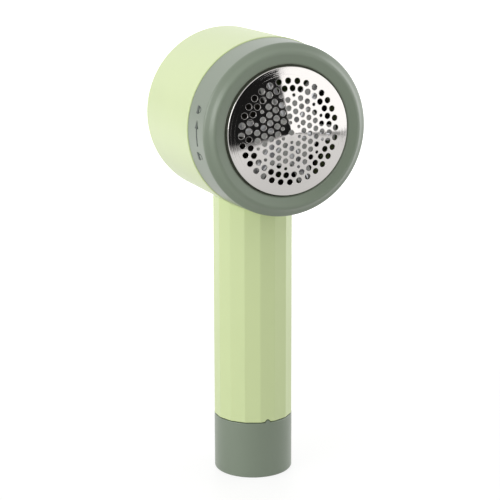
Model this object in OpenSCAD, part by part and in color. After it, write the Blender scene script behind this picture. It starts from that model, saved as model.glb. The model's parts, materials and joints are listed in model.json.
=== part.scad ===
// Handheld fabric shaver: a horizontal drum head on an upright sixteen-sided handle.
// Millimetres. +Z is up and the foil faces -Y. The origin is the centre of the base, on the
// handle's axis. Distances along the head are world Y, so what lies ahead of the handle is negative.

/* [Handle] */
// Width of the handle across opposite flats
handle_flats = 31.6; // [31:0.1:36]
// Number of flats round the handle
handle_sides = 16; // [14:2:20]
// Wall of the handle at the middle of a flat
handle_wall = 2.2; // [1.8:0.1:2.4]
// Height of the end cap's rim, where the handle starts
cap_h = 23.6; // [20:0.1:27]
// Seam between the end cap and the handle
cap_seam = 0.4; // [0.15:0.05:0.5]
// Wall of the end cap
cap_wall = 2.2; // [1.6:0.1:2.4]
// Floor of the end cap
cap_floor = 2.4; // [2.2:0.1:3]
// Rounding of the end cap's foot
cap_foot_r = 0.8; // [0.4:0.1:1.2]
// Length of the cap's spigot inside the handle
spigot_len = 7; // [6:0.5:10]
// Wall of the spigot
spigot_wall = 1.1; // [1:0.1:1.2]
// Width of the index tooth on the cap's front
tooth_w = 1.9; // [1.5:0.1:4]
// Height of the index tooth
tooth_h = 0.95; // [0.8:0.05:2]

/* [Head] */
// Height of the head's axis above the base
head_z = 146.3; // [144:0.1:160]
// Outside diameter of the head
head_d = 68.3; // [68:0.1:74]
// Wall of the head
head_wall = 2.6; // [2.4:0.1:2.8]
// Rear rim, behind the handle's axis
head_rear = 31.8; // [31:0.1:36]
// Rounding of the rear rim
head_rim_r = 2.3; // [1.5:0.1:2.3]
// Front flange that the motor carrier seats on
flange_t = 2.5; // [2:0.1:3]
// Depth of the bayonet collar ahead of the flange
collar_len = 5.8; // [5.4:0.1:6.5]
// Radial thickness of the bayonet collar
collar_t = 4.5; // [4.2:0.1:5]

/* [Guard ring] */
// How far the ring's side lies inside the head's
ring_step = 0.35; // [0.2:0.05:0.8]
// Seam between head and ring, ahead of the handle's axis
ring_back = 17.7; // [17:0.1:18.5]
// Front face of the ring, ahead of the handle's axis
ring_front = 36; // [35.5:0.1:36.5]
// Wall of the ring
ring_wall = 2; // [1.6:0.1:2.1]
// How far the ring's side draws in towards the front
ring_taper = 0.5; // [0.2:0.05:0.6]
// Depth of the chamfer between the ring's side and its face
ring_chamfer = 2.9; // [2.6:0.1:3.2]
// Width of the chamfer, measured across the head
ring_slant = 3.6; // [3.3:0.1:3.9]
// How far the chamfer is hollowed
cove_dip = 0.2; // [0.1:0.05:0.25]
// Rounding along the hollow of the chamfer
cove_r = 5; // [3:0.5:6]
// Rounding where the ring's side meets the chamfer
ring_edge_r = 1.2; // [0.8:0.1:1.4]
// Rounding where the chamfer meets the face
ring_brow_r = 1.9; // [1.2:0.1:2.2]
// Rounding of the face's inner edge
lip_edge_r = 1; // [0.3:0.1:1.2]
// Open groove between the ring and the foil
ring_groove = 0.65; // [0.3:0.05:0.8]
// How far the face dips from the chamfer to the foil
ring_dish = 0.9; // [0.6:0.1:1]
// Thickness of the lip that traps the foil
lip_t = 1.8; // [1.6:0.1:2]
// Angle the ring turns to unlock
twist_deg = 25; // [20:1:30]
// Width of a bayonet lug, as an angle
lug_deg = 16; // [12:1:18]
// How far a bayonet lug stands in from the ring
lug_h = 1.3; // [1:0.1:1.4]
// Length of a bayonet lug along the head
lug_len = 1.6; // [1.2:0.1:2]

/* [Foil] */
// Width of the rim from the ring's side to the foil
foil_rim = 9.2; // [8.8:0.1:9.6]
// Gauge of the foil
foil_t = 0.3; // [0.2:0.05:0.4]
// How far the foil's edge stands out of the lip
foil_stand = 0.75; // [0.5:0.05:1]
// Rise of the foil's cone from its edge to its point
foil_rise = 3.2; // [2.5:0.05:3.5]
// Width of the flange behind the lip
foil_flange = 2.6; // [2:0.1:3]
// Holes in each outer row
row_count = 32; // [28:1:34]
// Distance from the foil's edge to its outermost row of holes
row_inset = 5.25; // [5:0.05:5.8]
// Distance between the two outer rows
row_gap = 2.8; // [2.6:0.05:3]
// Diameter of the holes in the outer rows
row_hole_d = 2.35; // [1.8:0.05:2.4]
// Distance from the inner row to the filler holes of the middle field
field_gap = 2.53; // [2.2:0.01:2.9]
// Diameter of the holes in the middle field
grid_hole_d = 2.1; // [1.6:0.05:2.2]
// Diameter of the filler holes
small_hole_d = 1.25; // [1:0.05:1.4]

/* [Cutter] */
// Number of blades
blade_count = 6; // [3:1:6]
// Distance from the foil's edge to the circle that the blade tips sweep
blade_inset = 3.8; // [3.5:0.1:4.6]
// Gauge of a blade
blade_t = 0.5; // [0.3:0.05:0.6]
// Height of a blade above its arm, at the tip
blade_h = 2.2; // [1.8:0.1:2.6]
// Gap between the blades and the foil
blade_gap = 0.35; // [0.3:0.05:0.5]
// Radius of the cutter's middle plate
plate_r = 13.5; // [11:0.1:15]
// Thickness of the plate and its arms
plate_t = 1.6; // [1.2:0.1:2]
// Width of a blade arm
arm_w = 6; // [5:0.1:7]
// Length of the hub's boss behind the plate
hub_len = 8; // [6:0.1:9]

/* [Motor] */
// Diameter of the motor's can
motor_d = 24; // [23:0.1:24.4]
// Length of the motor's can
motor_l = 28; // [26:0.5:29]
// Diameter of the motor's shaft
shaft_d = 2; // [1.8:0.1:2.2]
// Distance between the two motor screws
motor_screw_span = 16; // [14:0.5:17]
// Wall of the pod round the motor
pod_wall = 1.85; // [1.5:0.05:2.2]

/* [Lint bin] */
// Wall of the bin
bin_wall = 1.6; // [1.2:0.1:2]
// Radius of the round grip recess in the bin's rear
grip_r = 17; // [14:0.5:19]
// Depth of the grip recess
grip_depth = 7; // [5:0.1:7.4]
// Width of the bar that is pinched to pull the bin
grip_bar = 6; // [5:0.5:9]

/* [Power] */
// Diameter of the cell
cell_d = 18.2; // [17:0.1:18.4]
// Length of the cell
cell_l = 65; // [60:0.5:66]
// Width of the circuit board
board_w = 16; // [14:0.5:16.5]
// Thickness of the circuit board
board_t = 1.6; // [1:0.1:1.8]
// Diameter of the power button
button_d = 10; // [8:0.1:11]
// Power button's centre below the underside of the head
button_drop = 17; // [15:0.5:19]
// How far the button stands out of the handle
button_proud = 0.6; // [0.4:0.1:1]
// Travel of the power button
button_travel = 0.5; // [0.3:0.05:0.6]

/* [Hidden] */
$fn = 96;

// Colours
lime = "#d3e2a4";
sage = "#84917f";
steel = "#c9c9cc";
copper = "#b06a3b";
brass = "#c2a35a";
dark = "#3a3d3b";
white_plastic = "#d9dad6";
board_green = "#2f6b45";

// Clearances
fit_gap = 0.1;      // parts that are pushed together by hand
slide_gap = 0.3;    // parts that slide or turn past each other
screw_gap = 0.05;   // screw shank in its hole
run_gap = 0.03;     // shaft in its bearing
glide_gap = 0.05;   // seal, brush and lens against what they meet

// Handle and cap
bore_r = handle_flats / 2 - handle_wall;
corner_r = handle_flats / 2 / cos(180 / handle_sides);
cap_r = corner_r - fit_gap;
cap_in = cap_r - cap_wall;
spigot_r = bore_r - fit_gap;
spigot_in = spigot_r - spigot_wall;
spigot_top = cap_h + spigot_len;
handle_foot = cap_h + cap_seam;
cap_edge_r = 0.4;
snap_z = cap_h + spigot_len / 2;
snap_w = 5;
snap_h = 1.5;
snap_stand = 0.7;

// Head and ring
head_r = head_d / 2;
head_in = head_r - head_wall;
ring_r = head_r - ring_step;
ring_in = ring_r - ring_wall;
seam_y = -ring_back;
face_y = -ring_front;
lip_y = face_y + ring_dish;
lip_back = lip_y + lip_t;
lip_r = ring_r - foil_rim + ring_groove;
front_r = ring_r - ring_taper;
chamfer_len = norm([ring_slant, ring_chamfer]);
cove_at_r = front_r - ring_slant / 2 - cove_dip * ring_chamfer / chamfer_len;
cove_at_y = face_y + ring_chamfer / 2 + cove_dip * ring_slant / chamfer_len;
collar_r = ring_in - slide_gap;
collar_in = collar_r - collar_t;
collar_front = seam_y - collar_len;
flange_back = seam_y + flange_t;
lug_count = 3;
lug_y = seam_y - collar_len / 2 + lug_len / 2;
groove_r = ring_in - lug_h - slide_gap;
bead_h = 0.6;
bead_deg = 20;

// Foil
foil_r = ring_r - foil_rim;
foil_edge = lip_y - foil_stand;
foil_tip = foil_edge - foil_rise;
foil_slope = foil_rise / foil_r;
foil_corner = 0.5;
row_r = foil_r - row_inset;
row_step = 360 / row_count;
row_turn = 1.3;
grid_turn = 34.3;
inner_ring = 1.24;      // the six holes nearest the middle stand off by this many pitches
grid_last = 19;         // squared lattice distance of the last full-size holes
grid_filler = 21;       // squared lattice distance of the filler holes
grid_pitch = (row_r - row_gap - field_gap) / sqrt(grid_filler);
retainer_t = 2;
retainer_y = lip_back + foil_t;
bead_y = retainer_y + retainer_t + fit_gap;
function foil_inside(r) = foil_tip + foil_t + foil_slope * r;

// Cutter
arm_turn = 54;
blade_r = foil_r - blade_inset;
plate_front = foil_edge + blade_h;
plate_back = plate_front + plate_t;
hub_back = plate_back + hub_len;
hub_r = 4;
blade_in = 5;
foot_w = 2.4;
stake_r = 0.7;
stake_h = 0.4;
stakes = [0.62, 0.86];  // places of the heat stakes along an arm, as shares of the blade's reach

// Motor and its carrier
pod_in = motor_d / 2 + fit_gap;
pod_r = pod_in + pod_wall;
pod_plate = 2;
pod_front = flange_back - 2.8;
motor_front = pod_front + pod_plate;
can_wall = 1;
can_back = motor_front + motor_l;
end_cap_in = 1;
end_cap_t = 2.6;
end_cap_back = can_back + end_cap_t;
pod_room = 5;           // behind the motor, for its leads
pod_back = end_cap_back + pod_room;
cover_t = 1.6;
boss_r = 3.2;
boss_len = pod_plate;
bearing_r = 2.4;
bearing_l = 3;
shaft_r = shaft_d / 2;
shaft_tip = plate_front + 0.8;
magnet_room = 3.8;      // from the can's outside to the armature
stack_r = motor_d / 2 - magnet_room;
stack_l = 14;
stack_inset = 6;
stack_y = motor_front + stack_inset;
pole_w = 3;
pole_count = 3;
shoe_half = 50;         // angle from the middle of a pole's shoe to its end
coil_w = 3.4;
coil_depth = 3;
shoe_t = 1.8;
coil_out = stack_r - shoe_t;
coil_in = coil_out - coil_depth;
coil_over = 1.6;
magnet_out = motor_d / 2 - can_wall;
air_gap = 0.5;
magnet_in = stack_r + air_gap;
magnet_deg = 130;
commutator_r = 2.6;
commutator_l = 4;
commutator_y = can_back - end_cap_in - commutator_l;
brush_w = 2.4;
brush_l = 3;
terminal_w = 2.4;
terminal_t = 0.5;
terminal_l = 2.6;
terminal_x = 4.4;
terminal_z = 6.5;       // below the head's axis

// Spokes and wire duct of the carrier
spoke_angles = [30, 150];
spoke_t = 2.4;
spoke_inset = 0.9;      // spokes, bosses and duct stop short of the carrier's ring by these
boss_inset = 0.2;
duct_inset = 0.5;
carrier_r = head_in - fit_gap;
carrier_in = collar_in - 0.4;
carrier_len = 9.2;
carrier_back = flange_back + carrier_len;
duct_w = 6.4;
duct_wall = 1.6;
duct_set = 5;
duct_y = flange_back + duct_set;
duct_len = 6;
keel_top = pod_r;
keel_h = 2.6;
keel_wall = 1.5;
keel_back = end_cap_back + 3.2;
fastener_angles = [90, 210, 330];
fastener_r = collar_in + 1.7;

// Lint bin
bin_r = head_in - slide_gap;
bin_in = bin_r - bin_wall;
bin_front = carrier_back + slide_gap;
bin_back = head_rear - 0.2;
bin_plate = 2.2;
bin_edge_r = 0.6;
seal_inset = 7;
seal_y = head_rear - seal_inset;
seal_w = 2.4;
seal_depth = 0.8;
seal_r = head_in - glide_gap;

// Handle insides
button_z = head_z - head_r - button_drop;
sled_r = spigot_in - slide_gap;
cell_skin = 0.4;
cell_lift = 10.6;
cell_r = cell_d / 2;
cell_y = -(sled_r - cell_r - cell_skin);
cell_z0 = cap_floor + cell_lift;
cell_z1 = cell_z0 + cell_l;
tab_t = 0.3;
tab_w = 6;
pocket_end = 2 * tab_t + fit_gap;
sled_end = 2.2;
window_inset = 8;       // the sled's front window stops this far from the cell's ends
sled_z0 = cell_z0 - pocket_end - sled_end;
sled_z1 = cell_z1 + pocket_end + sled_end;
board_y = cell_y + cell_r + cell_skin;
board_back = board_y + board_t;
usb_w = 8.9;
usb_h = 3.2;
usb_l = 7.4;
usb_wall = 0.3;
usb_mouth = 0.6;
usb_y = board_y - usb_h / 2;
usb_slot_gap = 0.3;
board_z0 = cap_floor + 0.3;
board_over = 14;        // board above the button
board_z1 = button_z + board_over;
screw_over = 6.3;       // upper board screw above the button
spine_t = 2.5;
spine_w = 12;
post_r = 2.4;
post_x = 7.4;
post_y = -5.4;
rib_r = bore_r - slide_gap;
rib_h = 3;

// Button and its switch
switch_w = 4.4;
switch_h = 1.5;
plunger_r = 1.2;
switch_gap = 0.7;       // between the switch and the head of the screw under it
plunger_bottom = board_back + button_travel + 0.15;
button_flange_w = 1.2;
button_flange_t = 1;
button_r = button_d / 2;
button_hole_r = button_r + slide_gap;
button_flange_r = button_r + button_flange_w;
button_flange_y = sqrt(pow(bore_r, 2) - pow(button_flange_r, 2)) - 0.3;
button_in = button_flange_y - button_flange_t;
button_out = handle_flats / 2 + button_proud;
button_dish = 0.35;
led_rise = 11.5;
led_z = button_z + led_rise;
led_w = 1.6;
led_h = 0.8;
lens_r = 0.9;
lens_hole_r = lens_r + glide_gap;

// Head to handle screws
head_screw_x = 8;
head_screw_y = -9;
head_screw_l = 10;
cap_screw_l = 7;
cap_screw_sink = 0.2;
screw_boss_r = 2.8;
screw_boss_h = 12;
saddle_gap = 0.05;

// Screw sizes: shank radius, head radius, head height
m2_shank = 1;
m2_head_r = 1.9;
m2_head_h = 1.2;
m22_shank = 1.1;
m22_head_r = 2.2;
m22_head_h = 1.4;
cross_depth = 0.6;
cross_w = 0.5;

// Wires
wire_r = 0.6;
wire_sides = 8;
lead_x = 1.4;
lead_fall = 9.5;        // from the underside of the head to where the leads meet the board
lead_end_x = spine_w / 2 + 1;
lead_drop_y = end_cap_back + 1.8;
lead_keel_z = head_z - keel_top - keel_h / 2;

// Rounded outlines: each corner is [x, y, radius]

function unit(v) = v / norm(v);
function flat(p) = [p[0], p[1]];
function corner(before, at, after, r, steps) =
    r <= 0 ? [at] :
    let (
        u = unit(before - at),
        v = unit(after - at),
        half = acos(u * v) / 2,
        centre = at + unit(u + v) * r / sin(half),
        first = at + u * r / tan(half),
        last = at + v * r / tan(half),
        a0 = atan2(first.y - centre.y, first.x - centre.x),
        a1 = atan2(last.y - centre.y, last.x - centre.x),
        turn = (a1 - a0 + 540) % 360 - 180
    ) [for (i = [0 : steps]) let (a = a0 + turn * i / steps) centre + r * [cos(a), sin(a)]];
function rounded(corners, steps = 6) =
    let (n = len(corners))
    [for (i = [0 : n - 1]) each corner(
        flat(corners[(i + n - 1) % n]), flat(corners[i]), flat(corners[(i + 1) % n]), corners[i][2], steps)];

// Shapes that repeat

// Puts children on the head's axis, with their Z along world Y
module on_head() {
    translate([0, 0, head_z]) rotate([-90, 0, 0]) children();
}

// Turns children to an angle seen from the front, from +X towards up
module at_angle(a) {
    rotate([0, 0, -a]) children();
}

module rod(r, y0, y1) {
    translate([0, 0, y0]) cylinder(r = r, h = y1 - y0);
}

module tube(r_out, r_in, y0, y1) {
    difference() {
        rod(r_out, y0, y1);
        rod(r_in, y0 - 1, y1 + 1);
    }
}

module revolve(corners) {
    rotate_extrude() polygon(rounded(corners));
}

// A band round the axis between two radii, two places and an angle either side of its middle
module band(r0, r1, y0, y1, half) {
    rotate([0, 0, -half]) rotate_extrude(angle = 2 * half)
        translate([r0, y0]) square([r1 - r0, y1 - y0]);
}

module box(x0, x1, y0, y1, z0, z1) {
    translate([x0, y0, z0]) cube([x1 - x0, y1 - y0, z1 - z0]);
}

// A pan-head screw along +Z, with its head below zero
module screw(length, shank_r, head_r, head_h) {
    difference() {
        union() {
            translate([0, 0, -head_h]) cylinder(r = head_r, h = head_h);
            cylinder(r = shank_r, h = length);
        }
        for (turn = [0, 90])
            rotate([0, 0, turn])
                translate([-head_r * 0.6, -cross_w / 2, -head_h - 1])
                    cube([head_r * 1.2, cross_w, 1 + cross_depth]);
    }
}

// A slot outline with round ends, along X
module stadium(w, h) {
    square([w - h, h], center = true);
    for (side = [-1, 1])
        translate([side * (w - h) / 2, 0]) circle(d = h);
}

module button_axis(z) {
    translate([0, 0, z]) rotate([-90, 0, 0]) children();
}

module handle_outline() {
    polygon([for (i = [0 : handle_sides - 1])
        let (a = 360 / handle_sides * (i + 0.5) - 90) corner_r * [cos(a), sin(a)]]);
}

// Guard ring, foil and retainer: the pieces that twist off together

module guard_ring() {
    color(sage) on_head() {
        revolve([
            [ring_in, seam_y, 0],
            [ring_r, seam_y, 0.4],
            [front_r, face_y + ring_chamfer, ring_edge_r],
            [cove_at_r, cove_at_y, cove_r],
            [front_r - ring_slant, face_y, ring_brow_r],
            [lip_r, lip_y, lip_edge_r],
            [lip_r, lip_back, 0],
            [ring_in, lip_back, 0]
        ]);
        for (i = [0 : lug_count - 1]) {
            at_angle(360 / lug_count * i)
                band(ring_in - lug_h, ring_in + ring_wall / 2, lug_y - lug_len, lug_y, lug_deg / 2);
            at_angle(360 / lug_count * (i + 0.5))
                band(ring_in - bead_h, ring_in + ring_wall / 2, bead_y, bead_y + bead_h, bead_deg / 2);
        }
    }
}

module hole_at(r, a, d) {
    at_angle(a) translate([r, 0, foil_tip - 1]) cylinder(d = d, h = foil_rise + foil_stand + 2);
}

module foil_holes() {
    for (i = [0 : row_count - 1]) {
        hole_at(row_r, row_turn + row_step * i, row_hole_d);
        hole_at(row_r - row_gap, row_turn + row_step * (i + 0.5), row_hole_d);
    }
    for (i = [-5 : 5], j = [-5 : 5]) {
        square_steps = i * i + i * j + j * j;
        x = grid_pitch * (i + j / 2);
        y = grid_pitch * j * sin(60);
        r = norm([x, y]);
        a = grid_turn + atan2(y, x);
        if (square_steps == 1) hole_at(r * inner_ring, a, small_hole_d);
        else if (square_steps <= grid_last) hole_at(r, a, grid_hole_d);
        else if (square_steps == grid_filler) hole_at(r, a, small_hole_d);
    }
}

module foil() {
    color(steel) on_head() difference() {
        revolve([
            [0, foil_tip, 0],
            [foil_r, foil_edge, foil_corner],
            [foil_r, lip_back, 0],
            [foil_r + foil_flange, lip_back, 0],
            [foil_r + foil_flange, lip_back + foil_t, 0],
            [foil_r - foil_t, lip_back + foil_t, 0],
            [foil_r - foil_t, foil_inside(foil_r - foil_t), foil_corner - foil_t],
            [0, foil_tip + foil_t, 0]
        ]);
        foil_holes();
    }
}

module foil_retainer() {
    color(dark) on_head() revolve([
        [foil_r, retainer_y, 0],
        [ring_in - fit_gap, retainer_y, 0],
        [ring_in - fit_gap, retainer_y + retainer_t, 0.5],
        [foil_r, retainer_y + retainer_t, 0.5]
    ]);
}

// Cutter and rotor: the pieces that spin

module on_arms() {
    for (i = [0 : blade_count - 1])
        at_angle(arm_turn + 360 / blade_count * i) children();
}

// The round plate and its arms, which end on the circle that the blades sweep
module arms_outline() {
    circle(r = plate_r);
    intersection() {
        circle(r = blade_r);
        for (i = [0 : blade_count - 1])
            rotate([0, 0, -arm_turn - 360 / blade_count * i])
                translate([plate_r / 2, -arm_w / 2]) square([blade_r, arm_w]);
    }
}

module cutter_hub() {
    color(white_plastic) on_head() {
        difference() {
            union() {
                translate([0, 0, plate_front]) linear_extrude(plate_t) arms_outline();
                rod(hub_r, plate_front + plate_t / 2, hub_back);
            }
            rod(shaft_r, shaft_tip, hub_back + 1);
        }
        on_arms() for (s = stakes)
            translate([blade_r * s, blade_t / 2 + foot_w / 2, plate_front - blade_t - stake_h])
                cylinder(r = stake_r, h = blade_t + stake_h + plate_t / 2);
    }
}

module cutter_blades() {
    color(steel) on_head() on_arms() difference() {
        union() {
            rotate([90, 0, 0]) translate([0, 0, -blade_t / 2]) linear_extrude(blade_t) polygon([
                [blade_in, plate_front],
                [blade_r, plate_front],
                [blade_r, foil_inside(blade_r) + blade_gap],
                [blade_in, foil_inside(blade_in) + blade_gap]
            ]);
            box(blade_in, blade_r - arm_w / 4, 0, blade_t / 2 + foot_w, plate_front - blade_t, plate_front);
        }
        for (s = stakes)
            translate([blade_r * s, blade_t / 2 + foot_w / 2, plate_front - blade_t - 1])
                cylinder(r = stake_r, h = blade_t + 2);
    }
}

module motor_shaft() {
    color(steel) on_head() rod(shaft_r, shaft_tip, end_cap_back - 0.4);
}

module wedge(r, half) {
    polygon([[0, 0], 2 * r * [cos(half), -sin(half)], [2 * r, 0], 2 * r * [cos(half), sin(half)]]);
}

module pole_outline() {
    difference() {
        union() {
            circle(r = coil_in - fit_gap);
            for (i = [0 : pole_count - 1]) rotate([0, 0, 360 / pole_count * i]) {
                translate([0, -pole_w / 2]) square([stack_r - 1, pole_w]);
                intersection() {
                    difference() {
                        circle(r = stack_r);
                        circle(r = coil_out + fit_gap);
                    }
                    wedge(stack_r, shoe_half);
                }
            }
        }
        circle(r = shaft_r);
    }
}

module motor_armature() {
    color(dark) on_head() translate([0, 0, stack_y]) linear_extrude(stack_l) pole_outline();
}

module armature_windings() {
    color(copper) on_head() for (i = [0 : pole_count - 1]) rotate([0, 0, 360 / pole_count * i])
        difference() {
            intersection() {
                box(coil_in, coil_out, -coil_w, coil_w, stack_y - coil_over, stack_y + stack_l + coil_over);
                rod(coil_out, stack_y - coil_over, stack_y + stack_l + coil_over);
            }
            box(coil_in - 1, coil_out + 1, -pole_w / 2, pole_w / 2, stack_y, stack_y + stack_l);
        }
}

module commutator() {
    color(copper) on_head() tube(commutator_r, shaft_r, commutator_y, commutator_y + commutator_l);
}

// Motor: the still pieces

module motor_can() {
    color(steel) on_head() difference() {
        union() {
            rod(motor_d / 2, motor_front, can_back);
            rod(boss_r, motor_front - boss_len, motor_front);
        }
        rod(motor_d / 2 - can_wall, motor_front + can_wall, can_back + 1);
        rod(bearing_r, motor_front - boss_len - 1, motor_front + can_wall + 1);
        for (side = [-1, 1])
            translate([side * motor_screw_span / 2, 0, 0])
                rod(m2_shank + screw_gap, motor_front - 1, motor_front + can_wall + 1);
    }
}

module motor_end_cap() {
    color(dark) on_head() difference() {
        union() {
            rod(motor_d / 2 - can_wall - fit_gap, can_back - end_cap_in, can_back);
            rod(motor_d / 2, can_back, end_cap_back);
        }
        rod(bearing_r, can_back - end_cap_in - 1, end_cap_back + 1);
    }
}

module motor_magnets() {
    color(dark) on_head() for (turn = [90, 270]) rotate([0, 0, turn])
        band(magnet_in, magnet_out, stack_y - 1, stack_y + stack_l + 1, magnet_deg / 2);
}

module motor_bearings() {
    color(brass) on_head() {
        tube(bearing_r, shaft_r + run_gap, motor_front - boss_len, motor_front - boss_len + bearing_l);
        tube(bearing_r, shaft_r + run_gap, end_cap_back - bearing_l, end_cap_back);
    }
}

module motor_brushes() {
    color(dark) on_head() for (side = [0, 180]) rotate([0, 0, side])
        box(commutator_r + glide_gap, commutator_r + glide_gap + brush_l, -brush_w / 2, brush_w / 2,
            can_back - end_cap_in - brush_l, can_back - end_cap_in);
}

module motor_terminals() {
    color(brass) on_head() for (side = [-1, 1])
        translate([side * terminal_x, terminal_z, end_cap_back])
            translate([-terminal_w / 2, 0, 0]) cube([terminal_w, terminal_t, terminal_l]);
}

module motor_screws() {
    color(steel) on_head() for (side = [-1, 1])
        translate([side * motor_screw_span / 2, 0, pod_front])
            screw(pod_plate + can_wall + 1, m2_shank, m2_head_r, m2_head_h);
}

// Head: shell, carrier, cover and bin

module bayonet_groove() {
    reach = lug_deg / 2 + 1;
    half_run = (twist_deg + 2 * reach) / 2;
    at_angle(twist_deg / 2)
        band(groove_r, collar_r + 1, lug_y - lug_len - slide_gap, lug_y + slide_gap, half_run);
    at_angle(twist_deg)
        band(groove_r + fit_gap, collar_r + 2, collar_front - 1, lug_y - lug_len / 2, reach - 0.3);
}

module head_housing() {
    color(lime) difference() {
        on_head() difference() {
            revolve([
                [collar_in, collar_front, 0],
                [collar_r, collar_front, 0.6],
                [collar_r, seam_y, 0],
                [head_r, seam_y, 0.4],
                [head_r, head_rear, head_rim_r],
                [head_in, head_rear, 0],
                [head_in, flange_back, 0],
                [collar_in, flange_back, 0]
            ]);
            for (i = [0 : lug_count - 1])
                at_angle(360 / lug_count * i) bayonet_groove();
            for (a = fastener_angles)
                at_angle(a) translate([fastener_r, 0, 0])
                    rod(m2_shank + screw_gap, collar_front + 1.5, flange_back + 1);
        }
        // wire hole in the floor of the head
        translate([0, duct_y, head_z - head_r - 1]) cylinder(d = duct_w, h = 2 * head_wall);
        for (side = [-1, 1]) translate([side * head_screw_x, head_screw_y, 0]) {
            translate([0, 0, head_z - head_r - 1]) cylinder(r = m22_shank + screw_gap, h = 3 * head_wall);
            translate([0, 0, head_screw_seat()]) cylinder(r = m22_head_r + slide_gap, h = head_wall + 2);
        }
    }
}

// Height of the seat under a head screw, let into the wall
function head_screw_seat() =
    head_z - sqrt(pow(head_r, 2) - pow(head_screw_x + m22_head_r, 2)) + 0.5;

module motor_carrier() {
    duct_x = duct_w / 2 + duct_wall;
    keel_bottom = keel_top + keel_h;
    color(dark) on_head() difference() {
        union() {
            rod(pod_r, pod_front, pod_back);
            tube(carrier_r, carrier_in, flange_back, carrier_back);
            for (a = spoke_angles) at_angle(a)
                box(pod_r - 1, carrier_in + 1, -spoke_t / 2, spoke_t / 2,
                    flange_back + spoke_inset, carrier_back - spoke_inset);
            for (a = fastener_angles) at_angle(a)
                translate([fastener_r, 0, 0])
                    rod(m2_head_r + 0.8, flange_back + boss_inset, carrier_back - boss_inset);
            // the duct under the pod, and the keel that leads to it from the motor's rear
            box(-duct_x, duct_x, pod_r - 2, carrier_in + 1,
                flange_back + duct_inset, carrier_back - duct_inset);
            box(-duct_w / 2 - keel_wall, duct_w / 2 + keel_wall, pod_r - 2, keel_bottom + keel_wall,
                flange_back + duct_inset + 0.4, keel_back + keel_wall);
        }
        rod(pod_in, motor_front, pod_back + 1);
        rod(boss_r + fit_gap, pod_front - 1, motor_front + 1);
        for (side = [-1, 1]) translate([side * motor_screw_span / 2, 0, 0])
            rod(m2_shank + screw_gap, pod_front - 1, motor_front + 1);
        for (a = fastener_angles) at_angle(a) translate([fastener_r, 0, 0]) {
            rod(m2_shank + screw_gap, flange_back - 1, carrier_back + 1);
            rod(m2_head_r + fit_gap, carrier_back - m2_head_h - 0.3, carrier_back + 1);
        }
        box(-duct_w / 2, duct_w / 2, keel_top, keel_bottom, duct_y - duct_len / 2, keel_back);
        box(-duct_w / 2, duct_w / 2, keel_top, head_in + 1, duct_y - duct_len / 2, duct_y + duct_len / 2);
        box(-duct_w / 2, duct_w / 2, pod_in - 2, keel_bottom, end_cap_back + 0.4, keel_back);
        for (side = [-1, 1])
            translate([side * head_screw_x, 0, head_screw_y]) rotate([-90, 0, 0])
                translate([0, 0, carrier_in - 3]) cylinder(r = m22_head_r + slide_gap, h = head_r);
    }
}

module motor_cover() {
    color(dark) on_head() revolve([
        [0, pod_back, 0],
        [pod_in - fit_gap - 1.2, pod_back, 0],
        [pod_in - fit_gap - 1.2, pod_back - 1.4, 0],
        [pod_in - fit_gap, pod_back - 1.4, 0],
        [pod_in - fit_gap, pod_back, 0],
        [pod_r, pod_back, 0],
        [pod_r, pod_back + cover_t, 1.2],
        [0, pod_back + cover_t, 0]
    ]);
}

module carrier_screws() {
    color(steel) on_head() for (a = fastener_angles) at_angle(a)
        translate([fastener_r, 0, carrier_back - m2_head_h - 0.3]) rotate([180, 0, 0])
            screw(carrier_len + 3, m2_shank, m2_head_r, m2_head_h);
}

module grip_half(r) {
    intersection() {
        circle(r = r);
        translate([grip_bar / 2, -r]) square([r, 2 * r]);
    }
}

module lint_bin() {
    pocket_floor = bin_back - grip_depth;
    color(lime) on_head() difference() {
        union() {
            revolve([
                [bin_in, bin_front, 0],
                [bin_r, bin_front, 0],
                [bin_r, bin_back, bin_edge_r],
                [0, bin_back, 0],
                [0, bin_back - bin_plate, 0],
                [bin_in, bin_back - bin_plate, 1]
            ]);
            rod(grip_r + bin_wall, pocket_floor - bin_wall, bin_back - bin_plate / 2);
        }
        tube(bin_r + 1, bin_r - seal_depth, seal_y - seal_w / 2, seal_y + seal_w / 2);
        for (turn = [0, 180]) rotate([0, 0, turn])
            translate([0, 0, pocket_floor]) linear_extrude(grip_depth + 1) grip_half(grip_r);
        // the pinched bar is cored out from the bin's inside
        box(-grip_bar / 2 + bin_wall, grip_bar / 2 - bin_wall, -grip_r + bin_wall, grip_r - bin_wall,
            pocket_floor - bin_wall - 1, bin_back - bin_plate);
    }
}

module bin_seal() {
    color(dark) on_head()
        tube(seal_r, bin_r - seal_depth, seal_y - seal_w / 2 + glide_gap, seal_y + seal_w / 2 - glide_gap);
}

// Handle, end cap and their screws

module handle_tube() {
    color(lime) difference() {
        union() {
            difference() {
                translate([0, 0, handle_foot]) linear_extrude(head_z - handle_foot) handle_outline();
                translate([0, 0, handle_foot - 1]) cylinder(r = bore_r, h = head_z);
            }
            for (side = [-1, 1])
                intersection() {
                    translate([side * head_screw_x, head_screw_y, head_z - head_r - screw_boss_h])
                        cylinder(r = screw_boss_r, h = screw_boss_h + head_r);
                    cylinder(r = bore_r + handle_wall / 2, h = head_z);
                }
            for (side = [0, 180]) rotate([0, 0, side])
                box(bore_r - snap_stand, bore_r + handle_wall / 2, -snap_w / 2, snap_w / 2,
                    snap_z - snap_h / 2, snap_z + snap_h / 2);
        }
        on_head() rod(head_r + saddle_gap, -head_r, head_r);
        for (side = [-1, 1])
            translate([side * head_screw_x, head_screw_y, head_z - head_r - screw_boss_h - 1])
                cylinder(r = m22_shank + screw_gap, h = head_r);
        button_axis(button_z) rod(button_hole_r, bore_r / 2, button_out + 1);
        button_axis(led_z) rod(lens_hole_r, bore_r / 2, button_out + 1);
        // notch that takes the cap's index tooth
        index_tooth(cap_seam, handle_foot - 1);
    }
}

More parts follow.
